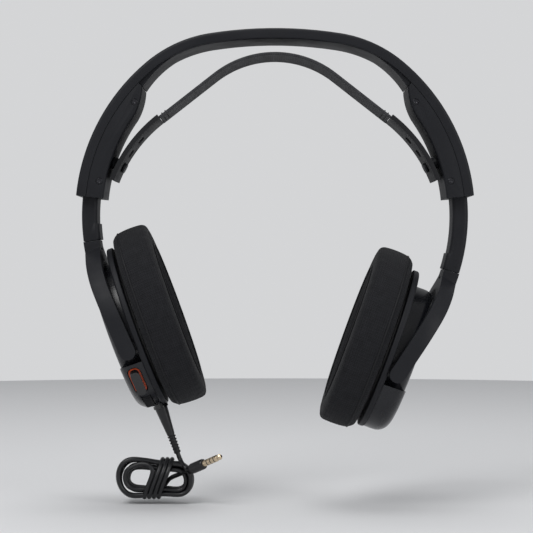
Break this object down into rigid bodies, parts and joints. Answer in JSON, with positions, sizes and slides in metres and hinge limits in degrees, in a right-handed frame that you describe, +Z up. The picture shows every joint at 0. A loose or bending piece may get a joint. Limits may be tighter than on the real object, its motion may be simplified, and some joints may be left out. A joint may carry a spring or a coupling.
{
  "type": "over-ear gaming headset",
  "caption": "Over-ear headset: arch headband with suspension strap, arms that slide for height, swivelling yokes, tilting padded cups, a retractable microphone and a corded lead.",
  "frame": {"origin": "underside of the suspension strap at the crown, where the headset rests on the head", "axes": "+X to the wearer's right, +Y forward, the way the wearer faces, +Z up"},
  "size_m": [0.215, 0.087, 0.2585],
  "materials": {
    "shell_plastic": "fine matt moulding",
    "drum_plastic": "satin to gloss moulding",
    "strap_fabric": "ribbed elastic webbing",
    "strap_rubber": "matt rubber",
    "cushion_fabric": "fine knit over foam",
    "scrim_cloth": "open mesh cloth",
    "spring_steel": "bright strip",
    "screw_steel": "black zinc",
    "pin_steel": "ground",
    "accent_plastic": "orange-red moulding",
    "key_plastic": "polished",
    "board": "green laminate",
    "magnet": "plated magnet can",
    "diaphragm_film": "thin film",
    "cable_rubber": "satin black sheath",
    "contact_metal": "nickel and gold contacts"
  },
  "bodies": {
    "headband": {"headband_shell": "shell_plastic", "headband_spring": "spring_steel", "headband_cover": "shell_plastic", "suspension_strap": "strap_fabric", "left_housing": "shell_plastic", "left_housing_screws": "screw_steel", "left_detent": "spring_steel", "left_strap_peg": "shell_plastic", "left_strap_end": "strap_rubber", "right_housing": "shell_plastic", "right_housing_screws": "screw_steel", "right_detent": "spring_steel", "right_strap_peg": "shell_plastic", "right_strap_end": "strap_rubber"},
    "left_arm": {"left_slider": "shell_plastic", "left_swivel_pin": "pin_steel", "left_swivel_clip": "spring_steel"},
    "left_yoke": {"left_yoke": "shell_plastic", "left_pivot_pins": "pin_steel"},
    "left_cup": {"left_cup_shell": "drum_plastic", "left_cup_rim": "shell_plastic", "left_cup_screws": "screw_steel", "left_baffle": "shell_plastic", "left_driver_frame": "shell_plastic", "left_driver_magnet": "magnet", "left_driver_diaphragm": "diaphragm_film", "left_ear_scrim": "scrim_cloth", "left_ear_cushion": "cushion_fabric", "circuit_board": "board", "mute_switch": "key_plastic", "mic_bush": "strap_rubber", "jack_socket": "key_plastic", "cable_connector": "cable_rubber", "cable_boot": "cable_rubber", "cord_lead": "cable_rubber", "cord_hank": "cable_rubber", "cord_tail": "cable_rubber", "plug_grip": "cable_rubber", "plug_shaft": "contact_metal"},
    "right_arm": {"right_slider": "shell_plastic", "right_swivel_pin": "pin_steel", "right_swivel_clip": "spring_steel"},
    "right_yoke": {"right_yoke": "shell_plastic", "right_pivot_pins": "pin_steel"},
    "right_cup": {"right_cup_shell": "drum_plastic", "right_cup_rim": "shell_plastic", "right_cup_screws": "screw_steel", "right_baffle": "shell_plastic", "right_driver_frame": "shell_plastic", "right_driver_magnet": "magnet", "right_driver_diaphragm": "diaphragm_film", "right_ear_scrim": "scrim_cloth", "right_ear_cushion": "cushion_fabric"},
    "mute_key": {"mute_button": "key_plastic", "mute_button_skirt": "accent_plastic"},
    "volume_wheel": {"volume_wheel": "key_plastic"},
    "microphone": {"mic_boom": "cable_rubber", "mic_capsule": "shell_plastic"}
  },
  "joints": [
    {"name": "left_arm_slide", "type": "hinge", "parent": "headband", "child": "left_arm", "pos_m": [0, 0, -0.0867], "axis": [0, -1, 0], "range_deg": [-11.8, 10.2]},
    {"name": "left_swivel", "type": "hinge", "parent": "left_arm", "child": "left_yoke", "pos_m": [-0.09992, 0, -0.10039], "axis": [0.1357, 0, -0.9907], "range_deg": [0, 90]},
    {"name": "left_tilt", "type": "hinge", "parent": "left_yoke", "child": "left_cup", "pos_m": [-0.07858, 0, -0.158], "axis": [0, -1, 0], "range_deg": [-13.5, 1.5]},
    {"name": "right_arm_slide", "type": "hinge", "parent": "headband", "child": "right_arm", "pos_m": [0, 0, -0.0867], "axis": [0, 1, 0], "range_deg": [-21.5, 0.5]},
    {"name": "right_swivel", "type": "hinge", "parent": "right_arm", "child": "right_yoke", "pos_m": [0.09618, 0, -0.11703], "axis": [0.3007, 0, 0.9537], "range_deg": [0, 90]},
    {"name": "right_tilt", "type": "hinge", "parent": "right_yoke", "child": "right_cup", "pos_m": [0.06545, 0, -0.17022], "axis": [0, 1, 0], "range_deg": [-4, 11.2]},
    {"name": "mute_press", "type": "slide", "parent": "left_cup", "child": "mute_key", "axis": [-0.1962, 0.819, 0.5392], "range_m": [0, 0.0012], "stiffness_N_per_m": 400, "springref_m": -0.0008},
    {"name": "volume_turn", "type": "hinge", "parent": "left_cup", "child": "volume_wheel", "pos_m": [-0.06978, -0.013, -0.18278], "axis": [-0.9397, 0, -0.342], "range_deg": [-140, 140]},
    {"name": "microphone_extend", "type": "slide", "parent": "left_cup", "child": "microphone", "axis": [0.3253, 0.309, -0.8937], "range_m": [0, 0.042]}
  ]
}
